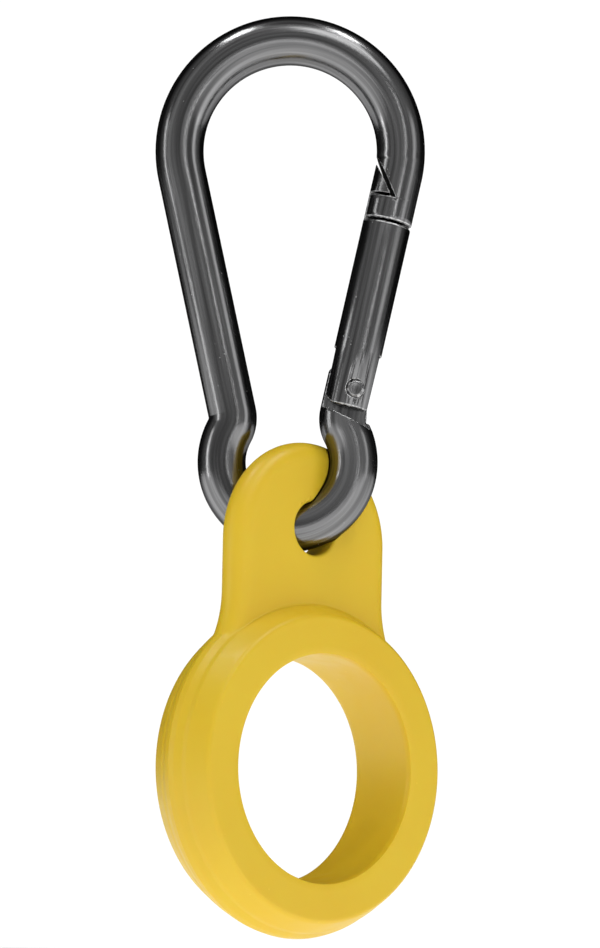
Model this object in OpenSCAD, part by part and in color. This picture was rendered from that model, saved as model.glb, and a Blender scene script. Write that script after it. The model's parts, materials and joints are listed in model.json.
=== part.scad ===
// Bottle carrier: a pear-shaped snap hook of bent rod, with a sprung gate,
// and a moulded silicone neck ring hanging from its small lower eye.
//
// Frame: X across the hook, Y through it, Z up.
// Origin: the inner crown of the bow, where the hook hangs.

/* [Hook] */
// Diameter of the bent rod
wire_d = 5.4; // [4:0.1:6.5]
// Radius of the bow, to the rod's centreline
bow_r = 12.4; // [10.5:0.1:15]
// Distance from the bow's centre down to the eye's centre
hook_length = 34.8; // [29:0.2:45]
// Radius of the lower eye, to the rod's centreline
eye_r = 7.4; // [6.4:0.1:9]
// Lean of each leg from the vertical
leg_lean = 12.4; // [10:0.1:14]
// Bend radius inside the waist bends
waist_inner_r = 0.3; // [0.1:0.1:0.9]
// How much the tight waist bends swell, on the radius
bend_swell = 0.02; // [0.01:0.01:0.05]

/* [Gate] */
// Distance from the waist bend up to the gate's pivot, along the rod
pivot_above_waist = 2.7; // [2:0.1:3.5]
// How far the pivot stands outward of the rod's centreline
pivot_offset = 0.66; // [0.4:0.02:0.9]
// Distance from the pivot up to the joint between gate and nose
joint_above_pivot = 19.2; // [16:0.1:22]
// Open gap at that joint
joint_gap = 0.25; // [0.2:0.05:0.5]
// Height of the gate's claw band on the nose
claw_h = 2.5; // [2.2:0.1:3.4]
// Height of the wedge notch above the claw
notch_h = 4.3; // [3:0.1:4.8]
// How far the notch and its slot pass the rod's centreline
notch_past_centre = 0.35; // [0:0.05:0.6]
// Width of the slot through the claw
claw_slot_w = 2; // [1.6:0.1:2.4]
// Gap around the gate's neck and wedge head
latch_gap = 0.4; // [0.2:0.05:0.5]
// Room under the wedge head, for its swing past the claw
head_lift = 0.35; // [0.3:0.05:0.5]

/* [Fork and tongue] */
// Thickness of the tongue that the gate's fork straddles
tongue_t = 2; // [1.6:0.1:2.4]
// Distance from the pivot up to the tongue's flat top
tongue_top = 1.9; // [1.6:0.1:2.1]
// Rounding of the tongue's inner corner
tongue_round = 0.6; // [0.3:0.1:0.8]
// Depth of the flat on the tongue's outer side
tongue_relief = 0.4; // [0.2:0.05:0.6]
// Gap on each side of the tongue
fork_gap = 0.15; // [0.08:0.01:0.25]
// How much thinner than the rod the fork is
fork_thinning = 0.1; // [0.05:0.05:0.4]
// Distance from the pivot up to the top of the fork's slot
fork_slot_top = 4.3; // [4.2:0.1:5]
// Distance from the pivot down to the gate's bottom end
gate_bottom = 2.1; // [1.8:0.1:2.2]
// Rounding of the gate's lower inner corner
gate_round = 1.9; // [1.4:0.1:2.1]
// Distance from the pivot down to the body's shoulder
shoulder_drop = 3.35; // [3.2:0.05:3.8]
// Slope of that shoulder, falling outward
shoulder_slope = 13.4; // [5:0.1:15]
// Bevel on the rod's cut ends
end_bevel = 0.15; // [0.1:0.05:0.4]

/* [Rivet, plunger and spring] */
// Diameter of the rivet's shank
rivet_d = 2.1; // [1.8:0.1:2.4]
// Gap between the shank and the tongue's hole
rivet_clearance = 0.05; // [0.02:0.01:0.08]
// How far each rivet end stands out of the fork's middle
rivet_proud = 0.05; // [0:0.05:0.3]
// Width of the bevel around each rivet end
rivet_bevel = 0.35; // [0.2:0.05:0.5]
// Diameter of the spring's bore
bore_d = 2; // [1.8:0.1:2.4]
// Distance from the pivot up to the bore's blind end
bore_top = 16; // [14:0.5:17]
// Gap between the plunger and the bore
plunger_clearance = 0.06; // [0.03:0.01:0.1]
// Length of the plunger's full-width part
plunger_len = 5; // [4:0.5:6]
// Length of the stem that guides the spring
stem_len = 2.5; // [1.5:0.5:4]
// Diameter of the spring's wire
spring_wire = 0.28; // [0.2:0.02:0.34]
// Number of the spring's turns
spring_turns = 11; // [6:1:14]

/* [Bottle holder] */
// Diameter of the bore that grips the bottle's neck
neck_d = 25.4; // [22:0.2:30]
// Width of the ring's flat face, from bore to edge
face_w = 4.2; // [3:0.1:6]
// How far the ring's rim stands outside the edge of its face
rim_w = 2.1; // [1.2:0.05:3]
// Thickness of the ring
ring_t = 9.3; // [7:0.1:12]
// Width of the tab
tab_w = 22.5; // [18:0.5:26]
// Thickness of the tab
tab_t = 4; // [3:0.1:4.4]
// Distance from the eye's centre down to the ring's centre
ring_drop = 34.4; // [32:0.1:45]
// Distance from the eye's centre up to the tab's top edge
tab_rise = 2.2; // [1:0.1:3]
// Fillet where the tab's sides flow into the ring
tab_fillet = 12; // [3:0.5:15]
// Diameter of the tab's hole
tab_hole_d = 6; // [5.6:0.1:7]
// Turn of the holder about the vertical
holder_turn = 41.3; // [35:0.1:45]
// How far the holder hangs to the side of the eye's centre
holder_shift = 2; // [0:0.1:2.5]
// Lean of the holder about the eye, from the vertical
holder_lean = 0.7; // [0:0.1:4]
// Gap between the eye's rod and its passage in the tab
passage_gap = 0.2; // [0.1:0.05:0.4]

/* [Hidden] */
$fn = 72;

steel = [0.26, 0.27, 0.28];
bright_steel = [0.62, 0.63, 0.65];
silicone = [0.90, 0.76, 0.24];

wire_r = wire_d / 2;
waist_r = wire_r + waist_inner_r;
bow_z = wire_r - bow_r;
eye_z = bow_z - hook_length;

// The leg's centreline touches the bow at angle -leg_lean. The waist bend's centre lies
// waist_r outside that line, and eye_r + waist_r from the eye's centre.
bend_angle = acos((bow_r - hook_length * sin(leg_lean) + waist_r) / (eye_r + waist_r));
leg_len = hook_length * cos(leg_lean) - (eye_r + waist_r) * sin(bend_angle);

// Heights along the rod of the gate side are measured from the pivot.
claw_top = joint_above_pivot + claw_h;
notch_slope = notch_h / (wire_r + notch_past_centre);
head_drop = latch_gap * sqrt(1 + notch_slope * notch_slope);
gate_top = joint_above_pivot - joint_gap;
reach = 2 * wire_d;
bend_sink = 0.1;

fork_r = wire_r - fork_thinning / 2;
fork_slot_w = tongue_t + 2 * fork_gap;
fork_step_u = fork_slot_top + end_bevel;

plunger_r = bore_d / 2 - plunger_clearance;
plunger_tip = tongue_top + 0.02;
plunger_top = plunger_tip + plunger_len;
tip_bevel = plunger_r / 2;
stem_r = plunger_r - spring_wire - 0.1;
spring_low = plunger_top + 0.02;
spring_high = bore_top - 0.02;

face_r = neck_d / 2 + face_w;
ring_r = face_r + rim_w;
tab_len = ring_drop + tab_rise - tab_w / 2;
hole_rise = ring_drop - eye_r + wire_r - tab_hole_d / 2 + passage_gap;

// ---------------------------------------------------------------- frames

// The bow's centre, with Z along the leg on the gate side.
module at_bow() {
    translate([0, 0, bow_z]) rotate([0, leg_lean, 0]) children();
}

// The waist bend's centre.
module at_bend() {
    at_bow() translate([bow_r + waist_r, 0, -leg_len]) children();
}

// The pivot's frame: X outward from the rod, Z up along it.
module at_pivot() {
    at_bow() translate([bow_r + pivot_offset, 0, pivot_above_waist - leg_len]) children();
}

// The same frame, moved onto the rod's centreline.
module at_rod() {
    at_pivot() translate([-pivot_offset, 0, 0]) children();
}

// The holder's frame: X across the tab, Y through it, origin at the ring's centre.
module at_holder() {
    translate([0, 0, eye_z])
        rotate([0, holder_lean, 0])
            translate([holder_shift, 0, -ring_drop])
                rotate([0, 0, holder_turn])
                    children();
}

// A 2D outline in X and Z, given a thickness in Y.
module plate(t) {
    rotate([90, 0, 0]) linear_extrude(t, center = true) children();
}

// A bend of round rod in the plane of the hook, that starts on the +X side of its centre.
module bend(r, sweep, d = wire_d) {
    rotate([90, 0, 0]) rotate_extrude(angle = sweep) translate([r, 0]) circle(d = d);
}

// What a corner of radius r loses when it is rounded; the corner points to -X and to z_side.
module corner_waste(r, z_side) {
    difference() {
        translate([-2 * r, z_side > 0 ? 0 : -2 * r]) square(2 * r);
        circle(r);
    }
}

// ---------------------------------------------------------------- hook

// A leg, and the waist bend below it, which swells a little as it is bent.
// The leg ends inside the bend.
module leg_and_waist() {
    at_bow() translate([bow_r, 0, -leg_len - bend_sink])
        cylinder(d = wire_d, h = leg_len + bend_sink);
    at_bend() mirror([1, 0, 0]) bend(waist_r, -bend_angle, wire_d + 2 * bend_swell);
}

// The bent rod, before the gate's side is cut. The eye's ends also lie inside the waist bends.
module bent_rod() {
    eye_from = bend_angle - leg_lean + bend_sink * 10;
    at_bow() bend(bow_r, 180 + 2 * leg_lean);
    leg_and_waist();
    rotate([0, 0, 180]) leg_and_waist();
    translate([0, 0, eye_z]) rotate([0, -eye_from, 0]) bend(eye_r, -180 - 2 * eye_from);
}

// The gap that the gate fills, with the bevel around the nose's end.
module gate_gap() {
    translate([0, 0, tongue_top]) cylinder(r = wire_d, h = joint_above_pivot - tongue_top);
    rotate_extrude() polygon([
        [wire_r - end_bevel, joint_above_pivot],
        [wire_d, joint_above_pivot],
        [wire_d, joint_above_pivot + end_bevel + wire_r]]);
}

// Outline of the wedge notch or of the head in it: a corner, and a slope up to the inner side.
module wedge(corner_x, base) {
    inner = -wire_r - 1;
    polygon([[corner_x, base], [inner, base], [inner, base + notch_slope * (corner_x - inner)]]);
}

// Wedge notch across the nose, and the slot below it through the claw.
module notch_cut() {
    plate(reach) wedge(notch_past_centre, claw_top);
    translate([notch_past_centre - wire_d, -claw_slot_w / 2, joint_above_pivot - 1])
        cube([wire_d, claw_slot_w, claw_h + 1.1]);
}

// Waste on both sides of the tongue, down to the sloping shoulder.
module tongue_cuts() {
    rise = reach * tan(shoulder_slope);
    for (side = [-1, 1])
        translate([0, side * (tongue_t + reach) / 2, 0])
            plate(reach) polygon([
                [-reach, rise - shoulder_drop],
                [reach, -rise - shoulder_drop],
                [reach, tongue_top + 1],
                [-reach, tongue_top + 1]]);
}

// Flat on the tongue's outer side, which runs out at the shoulder.
module tongue_flat() {
    plate(reach) polygon([
        [wire_r - tongue_relief, tongue_top + 1],
        [wire_r - tongue_relief, -gate_bottom / 2],
        [wire_r, -shoulder_drop],
        [reach, -shoulder_drop],
        [reach, tongue_top + 1]]);
}

// The bent rod, with all that is cut from it on the gate side.
module hook_body() color(steel) difference() {
    bent_rod();
    at_rod() gate_gap();
    at_rod() notch_cut();
    at_pivot() tongue_cuts();
    at_rod() tongue_flat();
    at_pivot() rotate([90, 0, 0])
        cylinder(d = rivet_d + 2 * rivet_clearance, h = reach, center = true);
    at_rod() plate(reach)
        translate([tongue_round - wire_r, tongue_top - tongue_round])
            corner_waste(tongue_round, 1);
}

// ---------------------------------------------------------------- gate

// Round bar of the gate, thinner over its fork.
module gate_bar() {
    rotate_extrude() polygon([
        [0, -gate_bottom],
        [fork_r - end_bevel, -gate_bottom],
        [fork_r, end_bevel - gate_bottom],
        [fork_r, fork_step_u],
        [wire_r, fork_step_u + fork_thinning / 2],
        [wire_r, gate_top - end_bevel],
        [wire_r - end_bevel, gate_top],
        [0, gate_top]]);
}

// Neck through the claw's slot and the wedge head above it, in line with the rod's surface.
module gate_head() {
    base = claw_top + head_lift;
    back = notch_past_centre - (head_lift + head_drop) / notch_slope;
    sink = 0.1;
    intersection() {
        translate([0, 0, gate_top - 1]) cylinder(d = wire_d - 0.05, h = claw_h + notch_h + 2);
        union() {
            plate(reach) wedge(back, base);
            plate(claw_slot_w - 2 * latch_gap) polygon([
                [back, gate_top - 2 * end_bevel],
                [back, base],
                [back - sink / notch_slope, base + sink],
                [-wire_d, base + sink],
                [-wire_d, gate_top - 2 * end_bevel]]);
        }
    }
}

module gate() color(steel) difference() {
    at_rod() {
        gate_bar();
        gate_head();
    }
    at_rod() translate([-reach, -fork_slot_w / 2, -reach])
        cube([2 * reach, fork_slot_w, reach + fork_slot_top]);
    at_rod() translate([0, 0, fork_slot_top - 1])
        cylinder(d = bore_d, h = bore_top - fork_slot_top + 1);
    at_pivot() rotate([90, 0, 0]) cylinder(d = rivet_d, h = reach, center = true);
    at_rod() plate(reach)
        translate([gate_round - fork_r, gate_round - gate_bottom])
            corner_waste(gate_round, -1);
}

// ---------------------------------------------------------------- inside the gate

// Rivet through the fork and the tongue, its ends bevelled flush with the cheeks.
module pivot_rivet() color(steel) {
    half = fork_r + rivet_proud;
    r = rivet_d / 2;
    at_pivot() rotate([90, 0, 0]) rotate_extrude() polygon([
        [0, -half],
        [r - rivet_bevel, -half],
        [r, rivet_bevel - half],
        [r, half - rivet_bevel],
        [r - rivet_bevel, half],
        [0, half]]);
}

// Pin that the spring pushes onto the tongue's flat, inward of the pivot.
module spring_plunger() color(bright_steel) {
    at_rod() rotate_extrude() polygon([
        [0, plunger_tip],
        [tip_bevel, plunger_tip],
        [plunger_r, plunger_tip + tip_bevel],
        [plunger_r, plunger_top],
        [stem_r, plunger_top],
        [stem_r, plunger_top + stem_len],
        [0, plunger_top + stem_len]]);
}

// Compression spring between the plunger and the bore's blind end.
module gate_spring() color(bright_steel) {
    sides = 6;
    per_turn = 14;
    steps = spring_turns * per_turn;
    coil_r = plunger_r - spring_wire / 2;
    rise = (spring_high - spring_low - spring_wire) / steps;
    points = [for (i = [0 : steps], j = [0 : sides - 1])
        let (a = 360 * i / per_turn,
             b = 360 * j / sides,
             r = coil_r + spring_wire / 2 * cos(b))
        [r * cos(a), r * sin(a),
         spring_low + spring_wire / 2 + rise * i + spring_wire / 2 * sin(b)]];
    walls = [for (i = [0 : steps - 1], j = [0 : sides - 1])
        let (a = i * sides + j, b = i * sides + (j + 1) % sides)
        [a, b, b + sides, a + sides]];
    start = [[for (j = [0 : sides - 1]) sides - 1 - j]];
    end = [[for (j = [0 : sides - 1]) steps * sides + j]];
    at_rod() polyhedron(points = points, faces = concat(start, walls, end), convexity = 10);
}

// ---------------------------------------------------------------- bottle holder

// Ring whose outside is crowned in two conical bands on each side of its rim.
module neck_ring() {
    half = ring_t / 2;
    rotate([90, 0, 0]) rotate_extrude() polygon([
        [neck_d / 2, -half],
        [face_r, -half],
        [ring_r - rim_w / 4, -half / 3],
        [ring_r, 0],
        [ring_r - rim_w / 4, half / 3],
        [face_r, half],
        [neck_d / 2, half]]);
}

// Cross-section of the tab, with its edges full round.
module tab_section() {
    square([tab_w - tab_t, tab_t], center = true);
    for (side = [-1, 1]) translate([side * (tab_w - tab_t) / 2, 0]) circle(d = tab_t);
}

// Tab: a straight strip that starts inside the ring's body, and ends in a half-disc.
module tab() {
    start = neck_d / 4;
    translate([0, 0, start]) linear_extrude(tab_len - start) tab_section();
    translate([0, 0, tab_len]) rotate([90, 0, 0]) rotate_extrude(angle = 180)
        intersection() {
            tab_section();
            translate([0, -tab_t]) square([tab_w, 2 * tab_t]);
        }
}

// Fillets between the tab's sides and the ring, round-edged and sunk a little into both.
module tab_fillets() {
    meet_r = ring_r - rim_w / 3;
    out = tab_w / 2 + tab_fillet;
    up = sqrt(pow(meet_r + tab_fillet, 2) - out * out);
    t = tab_t - 0.1;
    for (side = [0, 1]) mirror([side, 0, 0])
        translate([out, 0, up]) rotate([0, 180, 0]) rotate([90, 0, 0])
            rotate_extrude(angle = atan2(up, out)) translate([tab_fillet + tab_t / 2, 0]) {
                circle(d = t);
                translate([0, -t / 2]) square([t / 2, t]);
            }
}

module bottle_holder() color(silicone) difference() {
    at_holder() {
        neck_ring();
        tab();
        tab_fillets();
    }
    at_holder() rotate([90, 0, 0]) cylinder(d = neck_d, h = 2 * ring_t, center = true, $fn = 144);
    at_holder() translate([0, 0, hole_rise]) rotate([90, 0, 0])
        cylinder(d = tab_hole_d, h = 2 * tab_t, center = true);
    translate([0, 0, eye_z]) bend(eye_r, 360, wire_d + 2 * passage_gap);
}

// ---------------------------------------------------------------- the parts

hook_body();
gate();
pivot_rivet();
spring_plunger();
gate_spring();
bottle_holder();
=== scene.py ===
"""Bottle carrier hook: a dark plated snap hook with a sprung gate, and a moulded silicone neck ring."""
import json
import math

import bmesh
import bpy
import numpy as np
from bpy.props import FloatProperty, FloatVectorProperty, IntProperty, PointerProperty
from mathutils import Matrix, Vector


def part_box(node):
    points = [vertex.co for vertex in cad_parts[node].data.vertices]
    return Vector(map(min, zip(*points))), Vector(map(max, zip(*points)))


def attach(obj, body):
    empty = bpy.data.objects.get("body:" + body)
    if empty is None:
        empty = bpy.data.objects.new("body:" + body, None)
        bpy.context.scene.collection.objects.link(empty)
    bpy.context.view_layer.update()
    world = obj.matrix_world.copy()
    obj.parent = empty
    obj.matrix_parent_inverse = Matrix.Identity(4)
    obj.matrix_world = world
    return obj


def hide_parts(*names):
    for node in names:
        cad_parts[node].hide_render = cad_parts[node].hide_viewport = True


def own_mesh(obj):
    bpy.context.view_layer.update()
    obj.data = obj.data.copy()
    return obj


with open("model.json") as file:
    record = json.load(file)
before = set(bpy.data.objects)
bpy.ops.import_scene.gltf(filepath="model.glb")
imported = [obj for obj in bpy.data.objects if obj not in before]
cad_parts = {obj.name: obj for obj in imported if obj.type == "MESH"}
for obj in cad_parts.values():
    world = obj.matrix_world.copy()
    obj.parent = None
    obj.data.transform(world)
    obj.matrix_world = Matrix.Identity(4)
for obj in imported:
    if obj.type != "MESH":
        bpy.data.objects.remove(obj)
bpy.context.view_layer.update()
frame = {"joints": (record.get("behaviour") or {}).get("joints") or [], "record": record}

bl_info = {
    "name": "Bottle carrier hook",
    "version": (1, 0, 0),
    "blender": (4, 5, 0),
    "location": "3D View > Sidebar > Carrier",
    "description": "Snap hook of bent rod with its gate, spring and rivet, and a silicone neck ring",
    "category": "Object",
}

MM = 0.001
PREFIX = "carrier"

# ---------------------------------------------------------------- sizes read from the frame, in mm


def node_box(node):
    """Lowest and highest corner of a CAD node, in mm."""
    return np.array([list(corner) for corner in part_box(node)]) / MM


JOINTS = {joint["name"]: joint for joint in frame["joints"]}
MOUNTS = {mount["name"]: mount for mount in frame["record"]["mounts"]}
HOOK_BOX = node_box("hook_body")
HOLDER_BOX = node_box("bottle_holder")

WIRE_D = float(np.ptp(node_box("gate")[:, 1]))
WIRE_R = WIRE_D / 2
BOW_R = float(np.ptp(HOOK_BOX[:, 0]) - WIRE_D) / 2
BOW_Z = float(HOOK_BOX[1, 2]) - BOW_R - WIRE_R
EYE_Z = JOINTS["holder_sway"]["pos_m"][2] / MM
EYE_R = EYE_Z - float(HOOK_BOX[0, 2]) - WIRE_R
ROD_UP = np.array(JOINTS["plunger_slide"]["axis"], float)
ROD_OUT = np.array([ROD_UP[2], 0.0, -ROD_UP[0]])
LEAN = math.atan2(ROD_UP[0], ROD_UP[2])
PIVOT = np.array(JOINTS["gate_hinge"]["pos_m"], float) / MM
BOW_CENTRE = np.array([0.0, 0.0, BOW_Z])
PIVOT_OFFSET = float((PIVOT - BOW_CENTRE) @ ROD_OUT) - BOW_R
ROD_ORIGIN = PIVOT - PIVOT_OFFSET * ROD_OUT

RING_CENTRE = np.array(MOUNTS["bottle_bore"]["pos_m"], float) / MM
RING_AXIS = MOUNTS["bottle_bore"]["axis"]
TURN = math.atan2(math.hypot(RING_AXIS[0], RING_AXIS[2]), -RING_AXIS[1])
TILT = math.atan2(-RING_AXIS[2], RING_AXIS[0])
HOLDER_TURN = Matrix.Rotation(TILT, 3, "Y") @ Matrix.Rotation(TURN, 3, "Z")
NECK_R = MOUNTS["bottle_bore"]["dims"]["r_mm"]
RING_HALF = MOUNTS["bottle_bore"]["dims"]["length_mm"] / 2
RING_R = float(RING_CENTRE[2] - HOLDER_BOX[0, 2])
TAB_TOP = float(HOLDER_BOX[1, 2] - RING_CENTRE[2])

# ---------------------------------------------------------------- settings


def length(label, about, default):
    """A size in mm, which the sidebar shows."""
    return FloatProperty(name=label, description=about, default=default, min=0.0, precision=3)


class CarrierHookSizes(bpy.types.PropertyGroup):
    waist_inner: length("Waist bend", "Radius inside the waist bends, mm", 0.3)
    joint_up: length("Joint height", "From the pivot up to the joint of gate and nose, mm", 19.2)
    claw_high: length("Claw height", "Height of the claw band above the joint, mm", 2.5)
    notch_high: length("Notch height", "Height of the wedge notch above the claw, mm", 4.3)
    notch_past: length("Notch depth", "How far the notch passes the rod's centre, mm", 0.35)
    slot_wide: length("Claw slot", "Width of the slot through the claw, mm", 2.0)
    tongue_thick: length("Tongue", "Thickness of the tongue in the gate's fork, mm", 2.0)
    tongue_up: length("Tongue top", "From the pivot up to the tongue's flat top, mm", 1.9)
    tongue_round: length("Tongue corner", "Rounding of the tongue's inner corner, mm", 0.6)
    relief: length("Tongue flat", "Depth of the flat on the tongue's outer side, mm", 0.4)
    relief_end: length(
        "Tongue flat's end", "From the pivot down to where the flat starts to run out, mm", 1.05)
    shoulder_down: length("Shoulder", "From the pivot down to the shoulder, mm", 3.35)
    shoulder_slope: FloatProperty(
        name="Shoulder slope", description="How the shoulder falls outward",
        default=math.radians(13.4), subtype="ANGLE")
    rivet_hole_d: length("Rivet hole", "Diameter of the hole through the tongue, mm", 2.2)
    end_bevel: length("End bevel", "Bevel on the rod's cut ends, mm", 0.15)
    edge_round: length("Edge rounding", "Rounding left on machined edges by tumbling, mm", 0.07)
    columns: IntProperty(name="Columns", description="Faces round the rod", default=96, min=32)


class CarrierGateSizes(bpy.types.PropertyGroup):
    joint_gap: length("Joint gap", "Open gap between gate and nose, mm", 0.25)
    latch_gap: length("Latch gap", "Gap around the neck and the wedge head, mm", 0.4)
    head_lift: length("Head lift", "Room under the wedge head, mm", 0.35)
    fork_r: length("Fork radius", "Radius of the fork's cheeks, mm", 2.7)
    fork_slot: length("Fork slot", "Width of the fork's slot, mm", 2.3)
    slot_top: length("Slot top", "From the pivot up to the end of the fork's slot, mm", 4.3)
    bottom: length("Bottom end", "From the pivot down to the gate's end, mm", 2.1)
    corner_round: length("Lower corner", "Rounding of the lower inner corner, mm", 1.9)
    bore_r: length("Bore radius", "Radius of the spring's bore, mm", 1.0)
    bore_top: length("Bore depth", "From the pivot up to the bore's blind end, mm", 16.0)
    rivet_r: length("Rivet radius", "Radius of the rivet's shank, mm", 1.05)
    rivet_half: length("Rivet half length", "From the middle to a rivet end, mm", 2.7)
    plunger_r: length("Plunger radius", "Radius of the plunger, mm", 0.94)
    plunger_tip: length("Plunger tip", "From the pivot up to the plunger's tip, mm", 1.92)
    plunger_long: length("Plunger length", "Length of its full-width part, mm", 5.0)
    stem_long: length("Stem length", "Length of the stem inside the spring, mm", 2.5)
    spring_wire: length("Spring wire", "Diameter of the spring's wire, mm", 0.28)
    spring_turns: IntProperty(name="Spring turns", description="Number of turns", default=11, min=4)


class CarrierHolderSizes(bpy.types.PropertyGroup):
    face_wide: length("Face width", "Width of the ring's flat face, mm", 4.2)
    tab_wide: length("Tab width", "Width of the tab, mm", 22.5)
    tab_thick: length("Tab thickness", "Thickness of the tab, mm", 4.0)
    fillet: length("Fillet", "Fillet between the tab's sides and the ring, mm", 12.0)
    step_fillet: length("Step fillet", "Softness of the step from ring to tab, mm", 0.5)
    hole_r: length("Hole radius", "Radius of the tab's hole, mm", 3.0)
    hole_lip: length("Hole lip", "Rounding of the hole's edges, mm", 0.35)
    passage_gap: length("Passage gap", "Gap round the eye's rod in the tab, mm", 0.12)
    crease_round: length("Crease rounding", "Softness of the moulded creases, mm", 0.12)


class CarrierLooks(bpy.types.PropertyGroup):
    plating: FloatVectorProperty(
        name="Plating", description="Colour of the dark plating", subtype="COLOR",
        size=3, default=(0.20, 0.20, 0.202))
    # Pale colour of rubbed edges and nicks. On the bevels it also paints bright highlight lines, and on the
    # rivet's ends glint beads.
    bright: FloatVectorProperty(
        name="Worn plating and painted edge highlights", description="Colour of the rubbed plating and of the painted edge highlights", subtype="COLOR",
        size=3, default=(0.80, 0.80, 0.80))
    spring: FloatVectorProperty(
        name="Spring steel", description="Colour of the bare spring steel", subtype="COLOR",
        size=3, default=(0.50, 0.50, 0.50))
    silicone: FloatVectorProperty(
        name="Silicone", description="Colour of the silicone", subtype="COLOR",
        size=3, default=(0.75, 0.52, 0.020))
    silicone_deep: FloatVectorProperty(
        name="Deep silicone", description="Colour of the silicone where it is thick", subtype="COLOR",
        size=3, default=(0.72, 0.42, 0.012))
    floor: FloatVectorProperty(
        name="Floor", description="Colour of the floor", subtype="COLOR",
        size=3, default=(0.90, 0.90, 0.90))
    focal: FloatProperty(
        name="Focal length", description="Camera's focal length, mm", default=150.0, min=20.0)
    camera_drop: length(
        "Camera drop", "How far the level camera stands below the picture's middle, mm", 51.0)
    roll: FloatProperty(
        name="Roll", description="Camera's roll", default=math.radians(-0.48), subtype="ANGLE")


# ---------------------------------------------------------------- surfaces and meshes


def grid_faces(rows, columns, wrap=True):
    """Quads between neighbouring rows and columns of a grid that is numbered row by row."""
    start = np.arange(rows - 1)[:, None] * columns
    left = np.arange(columns if wrap else columns - 1)[None, :]
    right = (left + 1) % columns
    quads = np.stack([start + left, start + right, start + columns + right, start + columns + left], -1)
    return quads.reshape(-1, 4)


def make_object(name, points, faces):
    """A mesh of points (n, 3) in mm. Points that coincide are merged, and faces turned outward."""
    mesh = bpy.data.meshes.new(name)
    mesh.from_pydata(points.reshape(-1, 3).tolist(), [], [list(map(int, face)) for face in faces])
    tidy = bmesh.new()
    tidy.from_mesh(mesh)
    bmesh.ops.remove_doubles(tidy, verts=tidy.verts, dist=2e-4)
    bmesh.ops.dissolve_degenerate(tidy, dist=1e-5, edges=tidy.edges)
    bmesh.ops.recalc_face_normals(tidy, faces=tidy.faces)
    tidy.to_mesh(mesh)
    tidy.free()
    piece = bpy.data.objects.new(name, mesh)
    bpy.context.scene.collection.objects.link(piece)
    return piece


def revolve(name, profile, columns, ripple=None):
    """A profile of (radius, height) turned about Z: (r cos a, r sin a, h), its ends on the axis."""
    angle = np.linspace(0, 2 * np.pi, columns, endpoint=False)[None, :]
    radius = np.array(profile)[:, :1] * (1 if ripple is None else ripple(angle))
    height = np.array(profile)[:, 1:] + 0 * angle
    points = np.stack([radius * np.cos(angle), radius * np.sin(angle), height], -1)
    return make_object(name, points, grid_faces(len(profile), columns))


def prism(name, outline, thickness):
    """An outline in X and Z, given a thickness in Y about the middle."""
    flat = np.array(outline, float)
    count = len(flat)
    sides = np.array([-thickness / 2, thickness / 2])[:, None] + np.zeros(count)
    points = np.stack([flat[:, 0] + 0 * sides, sides, flat[:, 1] + 0 * sides], -1)
    ends = [list(range(count)), list(range(2 * count - 1, count - 1, -1))]
    return make_object(name, points, grid_faces(2, count).tolist() + ends)


def along_y(piece, x=0.0, z=0.0):
    """Lays a piece that was turned about Z along Y, through (x, z)."""
    piece.data.transform(Matrix.Translation((x, 0, z)) @ Matrix.Rotation(math.pi / 2, 4, "X"))
    return piece


def arc(centre, radius, start, end, count):
    """Points of a circle's arc, (centre + radius (cos a, sin a)), with angles in degrees."""
    angle = np.radians(np.linspace(start, end, count))
    return [(centre[0] + radius * math.cos(a), centre[1] + radius * math.sin(a)) for a in angle]


def combine(piece, other, operation):
    """Adds an exact boolean with another closed mesh."""
    step = piece.modifiers.new(operation.lower(), "BOOLEAN")
    step.operation = operation
    step.solver = "EXACT"
    step.object = other
    return other


def round_edges(piece, width, angle=30.0):
    """Adds a small two-step bevel to the edges that are sharper than angle, in degrees. Its faces
    take the second material slot, which finish_piece turns into the edge mask."""
    for name in ("slot 0", "slot 1"):
        piece.data.materials.append(bpy.data.materials.get(name) or bpy.data.materials.new(name))
    step = piece.modifiers.new("edge rounding", "BEVEL")
    step.limit_method = "ANGLE"
    step.angle_limit = math.radians(angle)
    step.width = width
    step.segments = 2
    step.use_clamp_overlap = False
    step.harden_normals = True
    step.material = 1


def vertex_points(mesh):
    """The mesh's vertices as an array (n, 3)."""
    points = np.zeros(len(mesh.vertices) * 3)
    mesh.vertices.foreach_get("co", points)
    return points.reshape(-1, 3)


def finish_piece(piece, helpers, to_world, unbend, smooth_angle=35.0):
    """Bakes the modifiers into the mesh, stores where each vertex lies along the bar it was made
    from, puts the mesh in place in metres, and removes the helpers."""
    bpy.context.view_layer.update()
    baked = bpy.data.meshes.new_from_object(piece.evaluated_get(bpy.context.evaluated_depsgraph_get()))
    piece.modifiers.clear()
    piece.data = baked
    for helper in helpers:
        bpy.data.objects.remove(helper)
    points = vertex_points(baked)
    bar_place = baked.attributes.new("bar_place", "FLOAT_VECTOR", "POINT")
    bar_place.data.foreach_set("vector", unbend(points).astype(np.float32).ravel())
    slots = np.zeros(len(baked.polygons), np.int32)
    baked.polygons.foreach_get("material_index", slots)
    # The bevel faces form the edge mask, which the metal materials paint as worn edges and bright highlight
    # lines.
    edge = baked.attributes.new("edge", "FLOAT", "FACE")
    edge.data.foreach_set("value", (slots == 1).astype(np.float32))
    baked.polygons.foreach_set("material_index", 0 * slots)
    baked.materials.clear()
    baked.vertices.foreach_set("co", (to_world(points) * MM).ravel())
    baked.polygons.foreach_set("use_smooth", np.ones(len(baked.polygons), bool))
    baked.set_sharp_from_angle(angle=math.radians(smooth_angle))
    baked.update()
    return piece


def same_place(points):
    """For a mesh that is already in the row frame."""
    return points


def from_rod(points):
    """From the gate-side rod's own frame, X outward and Z up along it, to the row frame."""
    across = points[:, 1:2] * np.array([0, 1, 0])
    return ROD_ORIGIN + points[:, :1] * ROD_OUT + across + points[:, 2:] * ROD_UP


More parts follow.
